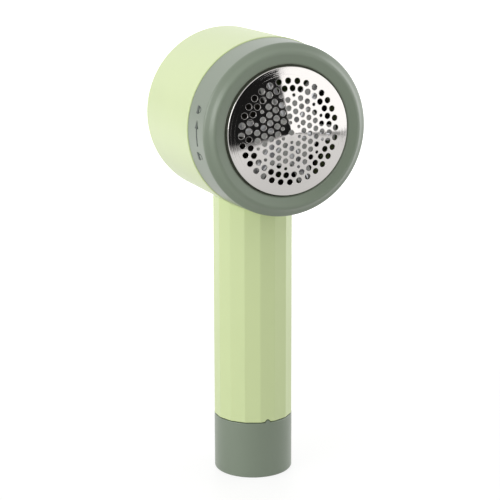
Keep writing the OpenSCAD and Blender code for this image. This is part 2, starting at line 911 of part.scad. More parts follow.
// The pointed index tooth at the front of the seam, grown by a gap, from a given height up
module index_tooth(gap, from_z) {
    half = tooth_w / 2 + gap;
    top = cap_h + tooth_h + gap;
    shoulder = cap_h + cap_seam;
    translate([0, -bore_r + 0.3, 0]) rotate([90, 0, 0]) linear_extrude(corner_r)
        polygon([[-half, from_z], [half, from_z], [half, shoulder],
                 [half / 4, top], [-half / 4, top], [-half, shoulder]]);
}

module head_screws() {
    color(steel) for (side = [-1, 1])
        translate([side * head_screw_x, head_screw_y, head_screw_seat()]) rotate([180, 0, 0])
            screw(head_screw_l, m22_shank, m22_head_r, m22_head_h);
}

module end_cap() {
    color(sage) difference() {
        union() {
            rotate_extrude() polygon(rounded([
                [0, 0, 0],
                [cap_r, 0, cap_foot_r],
                [cap_r, cap_h, cap_edge_r],
                [spigot_r, cap_h, 0],
                [spigot_r, spigot_top, 0.4],
                [spigot_in, spigot_top, 0],
                [spigot_in, cap_h - spigot_wall * 2, 0],
                [cap_in, cap_h - spigot_wall * 4, 0],
                [cap_in, cap_floor, 0.6],
                [0, cap_floor, 0]
            ]));
            intersection() {
                index_tooth(0, cap_h - 1);
                difference() {
                    cylinder(r = cap_r, h = spigot_top);
                    translate([0, 0, -1]) cylinder(r = spigot_r - spigot_wall / 2, h = spigot_top + 2);
                }
            }
        }
        translate([0, usb_y, -1]) linear_extrude(cap_floor + 2)
            stadium(usb_w + 2 * usb_slot_gap, usb_h + 2 * usb_slot_gap);
        for (side = [-1, 1]) translate([side * post_x, post_y, -1]) {
            cylinder(r = m22_shank + screw_gap, h = cap_floor + 2);
            cylinder(r = m22_head_r + slide_gap, h = 1 + m22_head_h);
        }
        for (side = [0, 180]) rotate([0, 0, side])
            box(spigot_in - 1, spigot_r + 1, -snap_w / 2 - fit_gap, snap_w / 2 + fit_gap,
                snap_z - snap_h / 2 - fit_gap, snap_z + snap_h / 2 + fit_gap);
    }
}

module cap_screws() {
    color(steel) for (side = [-1, 1])
        translate([side * post_x, post_y, m22_head_h])
            screw(cap_screw_l, m22_shank, m22_head_r, m22_head_h - cap_screw_sink);
}

// Power pack inside the handle

module battery_sled() {
    color(white_plastic) difference() {
        union() {
            intersection() {
                translate([0, 0, sled_z0]) cylinder(r = sled_r, h = sled_z1 - sled_z0);
                box(-sled_r, sled_r, -sled_r, board_y, sled_z0, sled_z1);
            }
            // guide ribs that centre the sled in the handle
            for (z = [spigot_top + 2, sled_z1 - rib_h])
                intersection() {
                    translate([0, 0, z]) cylinder(r = rib_r, h = rib_h);
                    box(-rib_r, rib_r, -rib_r, board_y, z, z + rib_h);
                }
            box(-spine_w / 2, spine_w / 2, board_y - spine_t, board_y, sled_z1 - 1, board_z1 - 1);
            for (side = [-1, 1])
                translate([side * post_x, post_y, cap_floor])
                    cylinder(r = post_r, h = sled_z0 - cap_floor + 1);
        }
        translate([0, cell_y, cell_z0 - pocket_end])
            cylinder(r = cell_r + fit_gap, h = cell_l + 2 * pocket_end);
        box(-tab_w / 2 - slide_gap, tab_w / 2 + slide_gap, cell_y, board_y + 1,
            cell_z0 - pocket_end, cell_z1 + pocket_end);
        box(-tab_w, tab_w, -rib_r - 1, cell_y - cell_r / 2, cell_z0 + window_inset, cell_z1 - window_inset);
        for (side = [-1, 1])
            translate([side * post_x, post_y, 0]) cylinder(r = m22_shank + screw_gap, h = sled_z0 + 1);
        for (z = board_screw_z())
            translate([0, board_y + 1, z]) rotate([90, 0, 0])
                cylinder(r = m2_shank + screw_gap, h = spine_t + 2);
    }
}

function board_screw_z() = [button_z - switch_w / 2 - switch_gap - m2_head_r, button_z + screw_over];

module battery_cell() {
    color("#5a8fb0") translate([0, cell_y, 0]) rotate_extrude() polygon(rounded([
        [0, cell_z0, 0],
        [cell_r, cell_z0, 0.5],
        [cell_r, cell_z1 - 1, 0.8],
        [cell_r / 3, cell_z1 - 1, 0],
        [cell_r / 3, cell_z1, 0.3],
        [0, cell_z1, 0]
    ]));
}

module battery_tabs() {
    color(steel) {
        box(-tab_w / 2, tab_w / 2, cell_y - tab_w / 2, board_y, cell_z0 - tab_t, cell_z0);
        box(-tab_w / 2, tab_w / 2, cell_y - tab_w / 2, board_y, cell_z1, cell_z1 + tab_t);
    }
}

module circuit_board() {
    color(board_green) difference() {
        box(-board_w / 2, board_w / 2, board_y, board_back, board_z0, board_z1);
        for (z = board_screw_z())
            translate([0, board_back + 1, z]) rotate([90, 0, 0])
                cylinder(r = m2_shank + screw_gap, h = board_t + 2);
    }
}

// Chips, coil and capacitors, each [x, height up the board, width, height, thickness]
board_chips = [
    [-2, 18, 5, 5, 0.9], [4, 26, 4, 4, 1.8], [-3.5, 30, 3, 1.6, 1], [3.5, 38, 6, 5, 1.1],
    [-4, 44, 1.6, 3, 0.9], [-1, 44, 1.6, 3, 0.9], [-3, 56, 3, 3, 1], [3, 66, 3.5, 2.8, 1.6]
];

module board_parts() {
    color(dark) for (c = board_chips)
        box(c[0] - c[2] / 2, c[0] + c[2] / 2, board_back, board_back + c[4],
            board_z0 + c[1] - c[3] / 2, board_z0 + c[1] + c[3] / 2);
}

module board_screws() {
    color(steel) for (z = board_screw_z())
        translate([0, board_back, z]) rotate([90, 0, 0])
            screw(board_t + spine_t - 0.3, m2_shank, m2_head_r, m2_head_h);
}

module usb_socket() {
    color(steel) translate([0, usb_y, usb_mouth]) {
        difference() {
            linear_extrude(usb_l) stadium(usb_w, usb_h);
            translate([0, 0, -1]) linear_extrude(usb_l) stadium(usb_w - 2 * usb_wall, usb_h - 2 * usb_wall);
        }
        translate([0, 0, 1.2]) linear_extrude(usb_l - 1.5) square([usb_w - 2.2, 0.7], center = true);
    }
}

module tact_switch() {
    color(dark) difference() {
        box(-switch_w / 2, switch_w / 2, board_back, board_back + switch_h,
            button_z - switch_w / 2, button_z + switch_w / 2);
        button_axis(button_z)
            rod(plunger_r + glide_gap, plunger_bottom - button_travel - 0.1, board_back + switch_h + 1);
    }
}

module switch_plunger() {
    color(white_plastic) button_axis(button_z) rod(plunger_r, plunger_bottom, button_in);
}

module power_button() {
    color(sage) button_axis(button_z) revolve([
        [0, button_in, 0],
        [button_flange_r, button_in, 0],
        [button_flange_r, button_flange_y, 0],
        [button_r, button_flange_y, 0],
        [button_r, button_out, 0.5],
        [button_r - 1.2, button_out, 0.3],
        [0, button_out - button_dish, 0]
    ]);
}

module status_led() {
    color("white")
        box(-led_w / 2, led_w / 2, board_back, board_back + led_h, led_z - led_w / 2, led_z + led_w / 2);
}

module led_lens() {
    color("white") button_axis(led_z) rod(lens_r, board_back + led_h + glide_gap, handle_flats / 2);
}

// Motor leads: one tube swept along its route, as a polyhedron

function lead_route(side) = [
    [side * terminal_x, lead_drop_y, head_z - terminal_z - terminal_t - wire_r / 2],
    [side * duct_w / 3, lead_drop_y, head_z - pod_in + wire_r],
    [side * lead_x, lead_drop_y - wire_r, lead_keel_z + wire_r / 2],
    [side * lead_x, lead_drop_y - 6 * wire_r, lead_keel_z],
    [side * lead_x, duct_y + duct_len / 2 + wire_r, lead_keel_z],
    [side * lead_x, duct_y + duct_len / 4, lead_keel_z - wire_r],
    [side * lead_x, duct_y, lead_keel_z - duct_len / 2],
    [side * lead_x, duct_y, head_z - head_r],
    [side * lead_x, duct_y + lead_fall / 3, head_z - head_r - lead_fall * 2 / 3],
    [side * lead_end_x / 2, duct_y + lead_fall, head_z - head_r - lead_fall],
    [side * lead_end_x, board_y - spine_t, head_z - head_r - lead_fall],
    [side * lead_end_x, board_y, head_z - head_r - lead_fall]
];

// A ring of points round a route's point, square to the direction there
function ring_at(p, along, r) =
    let (
        side = unit(cross(along, abs(along.z) > 0.9 ? [1, 0, 0] : [0, 0, 1])),
        up = cross(side, along)
    ) [for (k = [0 : wire_sides - 1]) let (a = 360 / wire_sides * k) p + r * (cos(a) * side + sin(a) * up)];

module lead(route) {
    n = len(route);
    rings = [for (i = [0 : n - 1])
        each ring_at(route[i], unit(route[min(i + 1, n - 1)] - route[max(i - 1, 0)]), wire_r)];
    sides = [for (i = [0 : n - 2], k = [0 : wire_sides - 1])
        let (a = i * wire_sides + k, b = i * wire_sides + (k + 1) % wire_sides)
        each [[a, b, b + wire_sides], [a, b + wire_sides, a + wire_sides]]];
    ends = [
        [for (k = [wire_sides - 1 : -1 : 0]) k],
        [for (k = [0 : wire_sides - 1]) (n - 1) * wire_sides + k]
    ];
    polyhedron(points = rings, faces = concat(sides, ends));
}

module motor_leads() {
    color("crimson") lead(lead_route(-1));
    color("dimgray") lead(lead_route(1));
}

guard_ring();
foil();
foil_retainer();
cutter_hub();
cutter_blades();
motor_shaft();
motor_armature();
armature_windings();
commutator();
head_housing();
motor_carrier();
motor_cover();
carrier_screws();
motor_can();
motor_end_cap();
motor_magnets();
motor_bearings();
motor_brushes();
motor_terminals();
motor_screws();
motor_leads();
lint_bin();
bin_seal();
handle_tube();
head_screws();
end_cap();
cap_screws();
battery_sled();
battery_cell();
battery_tabs();
circuit_board();
board_parts();
board_screws();
usb_socket();
tact_switch();
status_led();
led_lens();
power_button();
switch_plunger();
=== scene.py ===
import json
import math

import bpy
import numpy as np
from mathutils.geometry import delaunay_2d_cdt
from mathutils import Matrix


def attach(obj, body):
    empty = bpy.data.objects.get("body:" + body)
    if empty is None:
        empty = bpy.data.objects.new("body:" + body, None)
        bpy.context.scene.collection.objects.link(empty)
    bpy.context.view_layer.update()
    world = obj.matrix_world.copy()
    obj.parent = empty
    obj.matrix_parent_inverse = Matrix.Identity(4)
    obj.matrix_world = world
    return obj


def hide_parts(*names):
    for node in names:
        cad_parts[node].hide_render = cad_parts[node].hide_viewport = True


mm = 0.001              # sizes below are in millimetres and turn to metres when they are used
headHeight = 146.3      # the head's axis above the base
tiny = 1e-9             # keeps a division from zero, and points apart
white = (1, 1, 1, 1)

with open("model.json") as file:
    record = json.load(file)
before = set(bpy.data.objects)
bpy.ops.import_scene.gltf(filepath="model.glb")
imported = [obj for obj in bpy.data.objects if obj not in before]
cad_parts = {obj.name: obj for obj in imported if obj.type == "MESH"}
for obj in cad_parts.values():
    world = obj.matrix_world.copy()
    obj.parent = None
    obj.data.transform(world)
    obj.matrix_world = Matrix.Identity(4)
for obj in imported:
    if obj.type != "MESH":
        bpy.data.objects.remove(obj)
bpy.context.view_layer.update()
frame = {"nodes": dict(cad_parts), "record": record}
nodes = frame["nodes"]
slotOf = {part["node"]: part["material_slot"] for part in frame["record"]["subparts"]}


# Colour and node helpers

# Each channel of an sRGB hex value, undone by the standard curve: a straight foot, then a power of 2.4
def linear(code):
    srgb = np.array([int(code[i:i + 2], 16) for i in (1, 3, 5)]) / 255
    return (*np.where(srgb <= 0.04045, srgb / 12.92, ((srgb + 0.055) / 1.055) ** 2.4), 1.0)


# An input is named by its socket, with _ for a space, or by its place in the list, as i0, i1, i2
def addNode(tree, kind, settings=None, **inputs):
    node = tree.nodes.new(kind)
    for key, value in (settings or {}).items():
        setattr(node, key, value)
    for key, value in inputs.items():
        socket = node.inputs[int(key[1:]) if key[1:].isdigit() else key.replace("_", " ")]
        if isinstance(value, bpy.types.NodeSocket):
            tree.links.new(value, socket)
        else:
            socket.default_value = value
    return node


def emptyMaterial(name):
    material = bpy.data.materials.new(name)
    material.use_nodes = True
    material.node_tree.nodes.clear()
    return material, material.node_tree


# Moulded plastic, pressed powder and ink: the tone drifts a little over a thumb's width, and the
# gloss and a faint bump follow the grain of the mould
plasticSkin = {
    "driftSize": 16,
    "driftDetail": 2.0,
    "drift": 0.015,         # share of the brightness, up and down
    "grainDetail": 3.0,
    "glossSpread": 0.05,
    "bumpStrength": 0.6,
}


def mouldedPlastic(name, colour, roughness, grain, depth, shine=0.5):
    material, tree = emptyMaterial(name)
    spot = addNode(tree, "ShaderNodeTexCoord").outputs["Object"]
    fine = addNode(tree, "ShaderNodeTexNoise", Vector=spot, Scale=1 / (grain * mm),
                   Detail=plasticSkin["grainDetail"])
    broad = addNode(tree, "ShaderNodeTexNoise", Vector=spot, Scale=1 / (plasticSkin["driftSize"] * mm),
                    Detail=plasticSkin["driftDetail"])
    tone = addNode(tree, "ShaderNodeMapRange", Value=broad.outputs["Fac"],
                   To_Min=1 - plasticSkin["drift"], To_Max=1 + plasticSkin["drift"])
    tint = addNode(tree, "ShaderNodeHueSaturation", Value=tone.outputs["Result"], Color=linear(colour))
    gloss = addNode(tree, "ShaderNodeMapRange", Value=fine.outputs["Fac"],
                    To_Min=roughness - plasticSkin["glossSpread"],
                    To_Max=roughness + plasticSkin["glossSpread"])
    bump = addNode(tree, "ShaderNodeBump", Height=fine.outputs["Fac"], Distance=depth * mm,
                   Strength=plasticSkin["bumpStrength"])
    shader = addNode(tree, "ShaderNodeBsdfPrincipled", Base_Color=tint.outputs["Color"],
                     Roughness=gloss.outputs["Result"], Specular_IOR_Level=shine,
                     Normal=bump.outputs["Normal"])
    addNode(tree, "ShaderNodeOutputMaterial", Surface=shader.outputs["BSDF"])
    return material


# Spun steel: turning lines are a noise of the distance from the head's axis. The real lines are
# hundredths of a millimetre apart, so they are drawn as coarse as they need to show. They are
# strong on the bare rim and faint where the holes are
spunLines = {
    "spacing": 0.6,
    "detail": 2.0,
    "depth": 0.012,
    "strength": 0.55,
    "sparse": (0.52, 0.68),     # the band of the noise that becomes a groove
    "rim": (20.5, 22),          # distance from the axis over which the lines come up
    "faint": 0.1,
    "smearSize": 7,
    "smear": (0.85, 1.2),       # share of the roughness
}


def spunSteel(name, colour, roughness):
    material, tree = emptyMaterial(name)
    spot = addNode(tree, "ShaderNodeTexCoord").outputs["Object"]
    fromAxis = addNode(tree, "ShaderNodeVectorMath", {"operation": "SUBTRACT"}, i0=spot,
                       i1=(0, 0, headHeight * mm))
    across = addNode(tree, "ShaderNodeVectorMath", {"operation": "MULTIPLY"},
                     i0=fromAxis.outputs["Vector"], i1=(1, 0, 1))
    radius = addNode(tree, "ShaderNodeVectorMath", {"operation": "LENGTH"}, i0=across.outputs["Vector"])
    lines = addNode(tree, "ShaderNodeTexNoise", {"noise_dimensions": "1D"}, W=radius.outputs["Value"],
                    Scale=1 / (spunLines["spacing"] * mm), Detail=spunLines["detail"])
    grooves = addNode(tree, "ShaderNodeMapRange", Value=lines.outputs["Fac"],
                      From_Min=spunLines["sparse"][0], From_Max=spunLines["sparse"][1])
    onRim = addNode(tree, "ShaderNodeMapRange", Value=radius.outputs["Value"],
                    From_Min=spunLines["rim"][0] * mm, From_Max=spunLines["rim"][1] * mm,
                    To_Min=spunLines["faint"], To_Max=1.0)
    height = addNode(tree, "ShaderNodeMath", {"operation": "MULTIPLY"},
                     i0=grooves.outputs["Result"], i1=onRim.outputs["Result"])
    bump = addNode(tree, "ShaderNodeBump", Height=height.outputs["Value"],
                   Distance=spunLines["depth"] * mm, Strength=spunLines["strength"])
    smear = addNode(tree, "ShaderNodeTexNoise", Vector=spot, Scale=1 / (spunLines["smearSize"] * mm),
                    Detail=spunLines["detail"])
    gloss = addNode(tree, "ShaderNodeMapRange", Value=smear.outputs["Fac"],
                    To_Min=roughness * spunLines["smear"][0], To_Max=roughness * spunLines["smear"][1])
    shader = addNode(tree, "ShaderNodeBsdfPrincipled", Base_Color=linear(colour), Metallic=1.0,
                     Roughness=gloss.outputs["Result"], Normal=bump.outputs["Normal"])
    addNode(tree, "ShaderNodeOutputMaterial", Surface=shader.outputs["BSDF"])
    return material


# Worked metal: a noise drawn out along the way the metal was ground, rolled or stamped, which
# moves the gloss and a faint bump together
metalGrain = {
    "detail": 3.0,
    "glossSpread": 0.07,
    "bumpStrength": 0.6,
}


def workedMetal(name, colour, roughness, stretch, grain, depth):
    material, tree = emptyMaterial(name)
    spot = addNode(tree, "ShaderNodeTexCoord").outputs["Object"]
    along = addNode(tree, "ShaderNodeMapping", Vector=spot, Scale=stretch)
    lines = addNode(tree, "ShaderNodeTexNoise", Vector=along.outputs["Vector"],
                    Scale=1 / (grain * mm), Detail=metalGrain["detail"])
    gloss = addNode(tree, "ShaderNodeMapRange", Value=lines.outputs["Fac"],
                    To_Min=roughness - metalGrain["glossSpread"],
                    To_Max=roughness + metalGrain["glossSpread"])
    bump = addNode(tree, "ShaderNodeBump", Height=lines.outputs["Fac"], Distance=depth * mm,
                   Strength=metalGrain["bumpStrength"])
    shader = addNode(tree, "ShaderNodeBsdfPrincipled", Base_Color=linear(colour), Metallic=1.0,
                     Roughness=gloss.outputs["Result"], Normal=bump.outputs["Normal"])
    addNode(tree, "ShaderNodeOutputMaterial", Surface=shader.outputs["BSDF"])
    return material


# Wound wire: bands along the head's axis, one for each turn, that wander as hand-fed wire does
windingTurns = {
    "pitch": 0.35,
    "bandsPerScale": 0.314,     # a band texture of scale 1 has this many bands in a unit
    "wander": 0.6,
    "relief": 0.3,              # share of the pitch
    "strength": 0.8,
    "roughness": 0.32,
}


def woundWire(name, colour):
    material, tree = emptyMaterial(name)
    pitch = windingTurns["pitch"] * mm
    spot = addNode(tree, "ShaderNodeTexCoord").outputs["Object"]
    turns = addNode(tree, "ShaderNodeTexWave", {"bands_direction": "Y"}, Vector=spot,
                    Scale=windingTurns["bandsPerScale"] / pitch, Distortion=windingTurns["wander"])
    bump = addNode(tree, "ShaderNodeBump", Height=turns.outputs["Fac"],
                   Distance=windingTurns["relief"] * pitch, Strength=windingTurns["strength"])
    shader = addNode(tree, "ShaderNodeBsdfPrincipled", Base_Color=linear(colour), Metallic=1.0,
                     Roughness=windingTurns["roughness"], Normal=bump.outputs["Normal"])
    addNode(tree, "ShaderNodeOutputMaterial", Surface=shader.outputs["BSDF"])
    return material


# Plastics take a colour, a roughness, the grain's size and depth, and a shine where it is more than
# usual. Metals take the grain's stretch before its size and depth
materials = {
    # a satin skin from a spark-eroded mould: broad soft lights and an even, milky colour
    "lime_plastic": mouldedPlastic("lime ABS, spark-eroded mould", "#d5e4a9", 0.36, 0.35, 0.005, 0.75),
    # the same skin in a deeper colour, against which its edges carry a soft light line
    "sage_plastic": mouldedPlastic("sage ABS, spark-eroded mould", "#768370", 0.36, 0.32, 0.006, 0.85),
    # polished mould: pale and clean; its near-white is partly painted light, raised so the parts behind
    # the foil's holes look lit
    "pale_plastic": mouldedPlastic("pale ABS, polished mould, lightened as painted light", "#efefeb", 0.35, 0.5, 0.004),
    # fibres at the surface leave it dull and a little rough; its brownish dark is partly painted shade,
    # for the shaded inside of the head seen through the foil's holes
    "dark_plastic": mouldedPlastic("dark nylon, glass filled, darkened as painted shade", "#544e48", 0.55, 0.3, 0.01),
    # fine dull black, as on any chip
    "chip_plastic": mouldedPlastic("black epoxy, transfer moulded", "#1d1e20", 0.5, 0.2, 0.008),
    # pressed powder: soft black without a highlight
    "carbon": mouldedPlastic("carbon, pressed", "#1a1a1a", 0.6, 0.15, 0.01),
    # pressed and fired: dark grey with a fine tooth
    "magnet": mouldedPlastic("ferrite, pressed and fired", "#2a2a2c", 0.55, 0.2, 0.01),
    # soft and dull, dark where it is squeezed
    "seal_rubber": mouldedPlastic("silicone, moulded", "#3a3c3a", 0.6, 0.4, 0.01),
    # drawn through a die: smooth, with a long gentle shine
    "wire_jacket": mouldedPlastic("vinyl, extruded", "#8e1f22", 0.4, 0.5, 0.004),
    # shrunk tight: shiny, with slow ripples
    "cell_wrap": mouldedPlastic("polyester film, shrunk on", "#5a8fb0", 0.28, 2.0, 0.004),
    # a screened coat over glass cloth: shiny green with a slight ripple
    "board_laminate": mouldedPlastic("solder mask, screened on laminate", "#2f6b45", 0.3, 0.6, 0.005),
    # cast resin: glossy and warm white
    "lamp_plastic": mouldedPlastic("epoxy resin, cast", "#efe9d0", 0.25, 0.5, 0.002),
    # polished: near white, with a small sharp highlight
    "lens_plastic": mouldedPlastic("acrylic, polished mould", "#eef1f2", 0.15, 0.5, 0.002),
    # drawn thin and spun: a clear mirror, with turning lines on its rim
    "foil_steel": spunSteel("stainless steel, spun", "#cac7c4", 0.055),
    # ground across: a straight silky sheen
    "blade_steel": workedMetal("tool steel, ground", "#c4c4c6", 0.35, (1, 8, 1), 0.4, 0.004),
    # punched sheets in a stack: dark edges side by side
    "dark_steel": workedMetal("silicon steel, stamped", "#55565a", 0.5, (0.2, 6, 0.2), 0.5, 0.02),
    # plated after drawing: cool grey with a soft cloud
    "can_steel": workedMetal("deep-drawn steel, zinc plated", "#b4b7ba", 0.35, (1, 1, 1), 1.2, 0.006),
    # plated in a barrel: bright but worn smooth
    "screw_steel": workedMetal("screw steel, zinc plated", "#a9acb0", 0.3, (1, 1, 1), 0.5, 0.006),
    # folded from bright strip: fine lines along the fold
    "socket_steel": workedMetal("steel strip, folded", "#c0c1c4", 0.28, (1, 1, 6), 0.4, 0.004),
    # rolled thin: a faintly warm grey with lines along the strip
    "nickel_tab": workedMetal("nickel strip, rolled", "#bdbcb7", 0.3, (6, 1, 1), 0.4, 0.004),
    # sintered powder: brown gold with fine pores
    "bronze": workedMetal("bronze, sintered", "#9e7845", 0.45, (1, 1, 1), 0.2, 0.01),
    # stamped from sheet: yellow with straight lines
    "brass_tab": workedMetal("brass, stamped", "#c2a35a", 0.3, (1, 5, 1), 0.4, 0.004),
    # varnished wire laid turn by turn: red gold in fine ribs
    "copper_wire": woundWire("copper wire, enamelled and wound", "#b06a3b"),
    # printed with a soft pad: a thin flat film, duller than the plastic round it
    "mark_ink": mouldedPlastic("ink, pad printed", "#454f47", 0.5, 0.2, 0.002),
}
for name, node in nodes.items():
    node.data.materials.clear()
    node.data.materials.append(materials[slotOf[name]])
print("materials set on", len(nodes), "nodes")


# Mesh helpers: points are rows of x, y, z in millimetres, and a face is a row of point numbers

def addPiece(name, points, faces, material, body):
    mesh = bpy.data.meshes.new(name)
    rows = [row for block in faces for row in block.tolist()]
    mesh.from_pydata((points * mm).tolist(), [], rows)
    mesh.polygons.foreach_set("use_smooth", np.ones(len(rows), bool))
    mesh.materials.append(materials[material])
    piece = bpy.data.objects.new(name, mesh)
    bpy.context.scene.collection.objects.link(piece)
    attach(piece, body)
    return piece


# Quads between two closed loops of point numbers
def strip(first, second):
    return np.stack([first, second, np.roll(second, -1, axis=-1), np.roll(first, -1, axis=-1)],
                    axis=-1).reshape(-1, 4)


# Points round a circle, as cosine and sine
def circle(count):
    angle = 2 * np.pi * np.arange(count) / count
    return np.stack([np.cos(angle), np.sin(angle)], axis=-1)


# Foil: a shallow cone of thin steel. Its hole edges are rolled in, its rim is rounded into a short
# wall, and a flange behind the ring's lip holds it
foil = {
    "radius": 24.6,
    "gauge": 0.3,
    "edge": -35.85,         # where the cone would meet the wall, along the head's axis
    "rise": 3.2,            # from that edge to the cone's point
    "corner": 0.35,
    "cornerSteps": 7,
    "lipBack": -33.3,
    "flange": 2.6,
    "rowRadii": (19.35, 16.55),
    "rowCount": 32,
    "rowTurn": 1.3,
    "rowHole": 2.35,
    "pitch": 3.06,
    "gridTurn": 34.3,
    "gridHole": 2.1,
    "gridReach": 5,         # steps of the lattice to each side of the middle
    "gridLast": 19,         # squared lattice distance of the last full-size holes
    "gridFiller": 21,       # squared lattice distance of the small filler holes
    "smallHole": 1.25,
    "innerStand": 1.24,     # the six holes nearest the middle stand off by this many pitches
    "roll": 0.12,           # how far a hole's edge is rolled
    "rollShoulder": 0.3,    # share of the roll at the ring between face and bore
    "fieldRadius": 21.4,    # the holes lie inside this circle, the plain rim outside it
    "rimSteps": 4,
    "border": 240,
    "holeSides": 20,
    "outputKind": 4,        # of the triangulation: faces that make a valid mesh
}
foilSlope = foil["rise"] / foil["radius"]
foilTip = foil["edge"] - foil["rise"]


# Centres and radii of the holes. Row holes stand on a circle at equal angles, the second row half a
# step on. Field holes stand on a lattice of equal triangles, each √0.75 of its side high: a hole i
# steps along one side and j along the next lies i² + ij + j² squared pitches from the middle
def holeField():
    step = 2 * np.pi / foil["rowCount"]
    count = np.arange(foil["rowCount"])
    angles = [np.radians(foil["rowTurn"]) + step * (count + 0.5 * row) for row in (0, 1)]
    rows = [radius * np.stack([np.cos(angle), np.sin(angle)], axis=-1)
            for radius, angle in zip(foil["rowRadii"], angles)]
    reach = np.arange(-foil["gridReach"], foil["gridReach"] + 1)
    i, j = (grid.ravel() for grid in np.meshgrid(reach, reach))
    distance = i * i + i * j + j * j
    x, y = foil["pitch"] * (i + j / 2), foil["pitch"] * j * np.sqrt(0.75)
    turn = np.radians(foil["gridTurn"])
    field = np.stack([x * np.cos(turn) - y * np.sin(turn), x * np.sin(turn) + y * np.cos(turn)], axis=-1)
    field[distance == 1] *= foil["innerStand"]
    small = (distance == 1) | (distance == foil["gridFiller"])
    size = np.where(small, foil["smallHole"], foil["gridHole"])
    kept = (distance <= foil["gridLast"]) | (distance == foil["gridFiller"])
    sizes = np.concatenate([np.full(2 * foil["rowCount"], foil["rowHole"]), size[kept]])
    return np.concatenate([*rows, field[kept]]), sizes / 2


# A point of the cone lies along the axis at its tip plus slope times its distance from the axis,
# and a point under the face lies a drop further back
def onCone(flat, drop):
    away = np.hypot(flat[:, 0], flat[:, 1])
    return np.column_stack([flat[:, 0], foilTip + foilSlope * away + drop, headHeight + flat[:, 1]])


# The cone leans out from the axis by its slope for each unit that it faces forward
def coneNormal(points):
    x, z = points[:, 0], points[:, 2] - headHeight
    away = np.maximum(np.hypot(x, z), tiny)
    normal = np.column_stack([foilSlope * x / away, -np.ones(len(points)), foilSlope * z / away])
    return normal / np.linalg.norm(normal, axis=1, keepdims=True)


# Half section of rim, wall and flange, as distance from the axis and place along it: the cone's line
# to the corner, a quarter turn less the cone's tilt, the wall, the flange, and back inside
def foilProfile():
    radius, gauge, corner, back = foil["radius"], foil["gauge"], foil["corner"], foil["lipBack"]
    tilt = np.arctan(foilSlope)
    middle = [radius - corner, foilTip + foilSlope * (radius - corner) + corner / np.cos(tilt)]
    turn = np.linspace(tilt, np.pi / 2, foil["cornerSteps"])
    arc = np.column_stack([np.sin(turn), -np.cos(turn)])
    rim = np.linspace(foil["fieldRadius"], radius - corner, foil["rimSteps"] + 2)[1:-1]
    outside = np.column_stack([rim, foilTip + foilSlope * rim])
    flange = [[radius, back], [radius + foil["flange"], back],
              [radius + foil["flange"], back + gauge], [radius - gauge, back + gauge]]
    return np.concatenate([outside, middle + corner * arc, flange,
                           (middle + (corner - gauge) * arc)[::-1], (outside + [0, gauge])[::-1]])


# A profile spun round the head's axis, with normals square to the profile
def spunProfile(profile, around):
    slope = np.gradient(profile, axis=0)
    slope /= np.maximum(np.linalg.norm(slope, axis=1, keepdims=True), tiny)
    shape = (len(profile), len(around))
    points = np.stack([profile[:, :1] * around[:, 0], np.broadcast_to(profile[:, 1:], shape),
                       headHeight + profile[:, :1] * around[:, 1]], axis=-1)
    normals = np.stack([slope[:, 1:] * around[:, 0], np.broadcast_to(-slope[:, :1], shape),
                        slope[:, 1:] * around[:, 1]], axis=-1)
    return points.reshape(-1, 3), normals.reshape(-1, 3)


# Faces of the holed field: triangles between the border and the holes, without those that fill a hole
def fieldFaces(flat, border, holes):
    loops = [np.stack([loop, np.roll(loop, -1, axis=-1)], axis=-1).reshape(-1, 2)
             for loop in (border, holes)]
    edges = np.concatenate(loops).tolist()
    _, _, faces, source, _, _ = delaunay_2d_cdt(flat.tolist(), edges, [], foil["outputKind"], tiny)
    faces = np.array([ids[0] for ids in source])[np.array(faces)]
    owner = np.where(faces < len(border), -1 - faces, (faces - len(border)) // holes.shape[1])
    return faces[(owner != owner[:, :1]).any(axis=1)]


def buildFoil():
    centres, radii = holeField()
    ring, around = circle(foil["holeSides"]), circle(foil["border"])
    rim = foil["fieldRadius"] * around
    roll, shoulder = foil["roll"], foil["roll"] * foil["rollShoulder"]

    def holeRings(wider):
        return (centres[:, None] + (radii[:, None, None] + wider) * ring).reshape(-1, 2)

    # five sets of points: outer face, shoulder of each rolled edge, bore, inner face, and the wall
    face = np.concatenate([rim, holeRings(roll)])
    wall, wallNormals = spunProfile(foilProfile(), around)
    sets = [onCone(face, 0), onCone(holeRings(shoulder), shoulder), onCone(holeRings(0), roll),
            onCone(np.concatenate([rim, holeRings(0)]), foil["gauge"]), wall]
    starts = np.concatenate([[0], np.cumsum([len(points) for points in sets])])
    border = np.arange(foil["border"])
    holes = np.arange(len(centres) * foil["holeSides"]).reshape(len(centres), -1)
    outerHoles, innerHoles = foil["border"] + holes, starts[3] + foil["border"] + holes
    shoulders, bores = starts[1] + holes, starts[2] + holes
    wallLoops = starts[4] + np.arange(len(wall)).reshape(-1, foil["border"])
    loops = [border, *wallLoops, starts[3] + border]

    faces = fieldFaces(face, border, outerHoles)
    blocks = [faces, faces[:, ::-1] + starts[3], strip(shoulders, outerHoles), strip(bores, shoulders),
              strip(innerHoles, bores)]
    blocks += [strip(first, second) for first, second in zip(loops, loops[1:])]

    intoHole = np.zeros((holes.size, 3))
    intoHole[:, (0, 2)] = np.tile(-ring, (len(centres), 1))
    rolled = coneNormal(sets[1]) + intoHole
    rolled /= np.linalg.norm(rolled, axis=1, keepdims=True)
    normals = np.concatenate([coneNormal(sets[0]), rolled, intoHole, -coneNormal(sets[3]), wallNormals])

    piece = addPiece("spunFoil", np.concatenate(sets), blocks, "foil_steel", "guard")
    piece.data.normals_split_custom_set_from_vertices(normals.tolist())
    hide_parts("foil")


buildFoil()
print("foil made")


# Twist marks printed on the ring's side: an arrow between a closed and an open lock
marks = {
    "ringRadius": 33.8,
    "ringSeam": -17.7,
    "ringTaper": 0.0325,    # the side draws in by this much for each millimetre towards the front
    "middle": 180,          # clock angle of the arrow, from the right of the head
    "place": -26.5,         # along the head's axis
    "lift": 0.03,
    "ink": 0.05,
    "arrowSpan": 10,
    "arrowWidth": 1.1,
    "arrowSteps": 17,
    "headWidth": 3.2,
    "lockGap": 4.0,
    "lockSize": 3.4,
}
